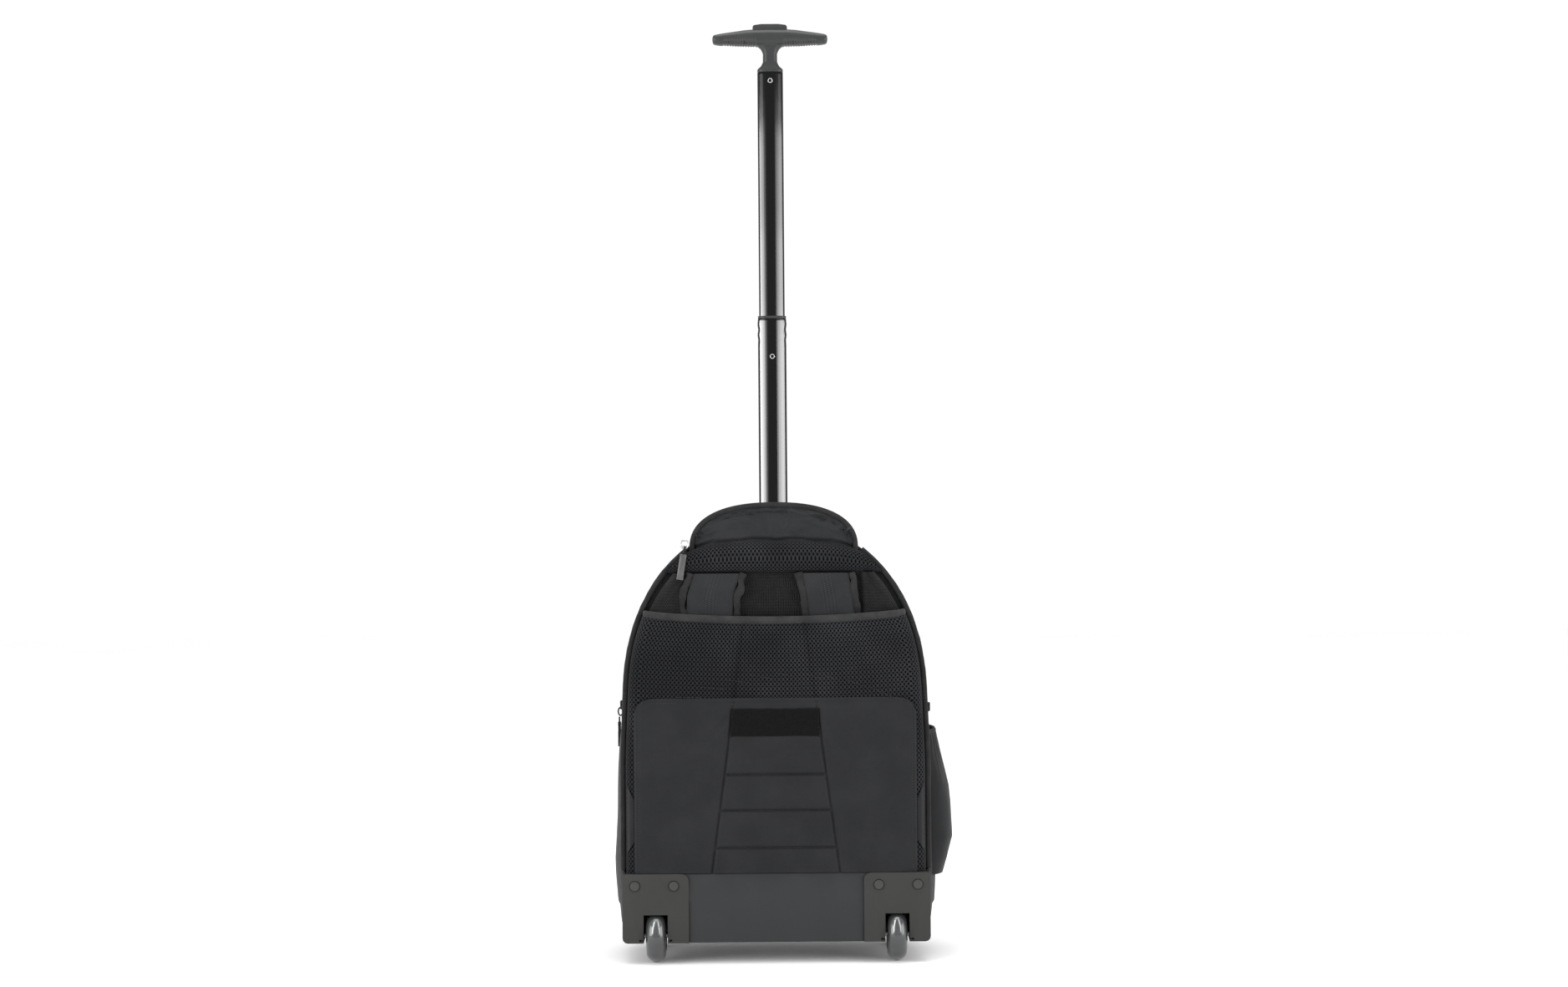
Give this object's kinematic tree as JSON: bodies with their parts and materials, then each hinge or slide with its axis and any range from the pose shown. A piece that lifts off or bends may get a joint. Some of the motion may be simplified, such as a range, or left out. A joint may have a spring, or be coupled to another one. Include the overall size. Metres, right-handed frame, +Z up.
{
  "type": "rolling laptop backpack",
  "caption": "Soft laptop backpack on wheels with a harness tucked into an air mesh sleeve, a domed handle cover, a kick plate, a bottle pocket and a telescopic T handle drawn out",
  "frame": {"origin": "on the ground, under the middle of the bag's bounding box", "axes": "+Z up, -Y towards the viewer of the harness side, +Y towards the front pocket, +X to the right of someone who looks at the harness side"},
  "size_m": [0.3926, 0.2166, 1.08],
  "materials": {
    "cloth": "black nylon dobby cloth",
    "trim": "grey-black binding and zip tape",
    "air_mesh": "black air mesh",
    "ribbed_webbing": "black upright ribs",
    "loop_fabric": "fuzzy black loop cloth",
    "guard_plastic": "smooth dark grey",
    "housing_plastic": "matte warm dark grey",
    "grip_plastic": "satin dark grey",
    "pull_plastic": "black",
    "painted_tube": "gloss black",
    "steel": "dark nickel",
    "chrome": "polished",
    "wheel_rubber": "glossy dark grey"
  },
  "bodies": {
    "bag": {"back_wall": "cloth", "side_band": "cloth", "front_wall": "cloth", "front_piping": "trim", "front_pocket": "cloth", "bottle_pocket": "cloth", "back_piping_left": "trim", "back_piping_right": "trim", "handle_cover": "cloth", "handle_cover_piping": "trim", "handle_well": "cloth", "fixed_tube": "steel", "tube_collar": "grip_plastic", "mesh_band": "air_mesh", "ribbed_panel": "ribbed_webbing", "sleeve_panel": "air_mesh", "sleeve_binding": "trim", "lumbar_flap": "cloth", "hook_strip": "loop_fabric", "strap_left": "cloth", "strap_right": "cloth", "strap_binding_inner_left": "trim", "strap_binding_inner_right": "trim", "strap_binding_outer_left": "trim", "strap_binding_outer_right": "trim", "anchor_tab_left": "cloth", "anchor_tab_right": "cloth", "guard": "guard_plastic", "housing_left": "housing_plastic", "housing_right": "housing_plastic", "guard_rivet_outer_left": "housing_plastic", "guard_rivet_outer_right": "housing_plastic", "guard_rivet_inner_left": "housing_plastic", "guard_rivet_inner_right": "housing_plastic", "axle_left": "steel", "axle_right": "steel", "foot_left": "housing_plastic", "foot_right": "housing_plastic", "main_zip": "trim", "main_zip_slider_left": "steel", "main_zip_pull_left": "pull_plastic", "main_zip_slider_right": "steel", "top_zip_slider": "chrome", "top_zip_pull": "steel", "front_pocket_zip": "trim"},
    "handle_lower": {"lower_tube": "painted_tube", "lower_tube_ring": "grip_plastic", "lower_rivet": "chrome"},
    "handle_upper": {"upper_tube": "painted_tube", "upper_rivet": "chrome", "grip": "grip_plastic"},
    "handle_button": {"button": "grip_plastic"},
    "wheel_left": {"tyre_left": "wheel_rubber", "hub_left": "grip_plastic"},
    "wheel_right": {"tyre_right": "wheel_rubber", "hub_right": "grip_plastic"}
  },
  "joints": [
    {"name": "handle_lower_slide", "type": "slide", "parent": "bag", "child": "handle_lower", "axis": [0, 0, 1], "range_m": [-0.28, 0]},
    {"name": "handle_upper_slide", "type": "slide", "parent": "handle_lower", "child": "handle_upper", "axis": [0, 0, 1], "range_m": [-0.28, 0]},
    {"name": "button_press", "type": "slide", "parent": "handle_upper", "child": "handle_button", "axis": [0, 0, 1], "range_m": [-0.003, 0], "stiffness_N_per_m": 300, "springref_m": 0.002},
    {"name": "wheel_left_spin", "type": "hinge", "parent": "bag", "child": "wheel_left", "pos_m": [-0.14889, -0.07828, 0.03], "axis": [1, 0, 0], "continuous": true},
    {"name": "wheel_right_spin", "type": "hinge", "parent": "bag", "child": "wheel_right", "pos_m": [0.12711, -0.07828, 0.03], "axis": [1, 0, 0], "continuous": true}
  ]
}
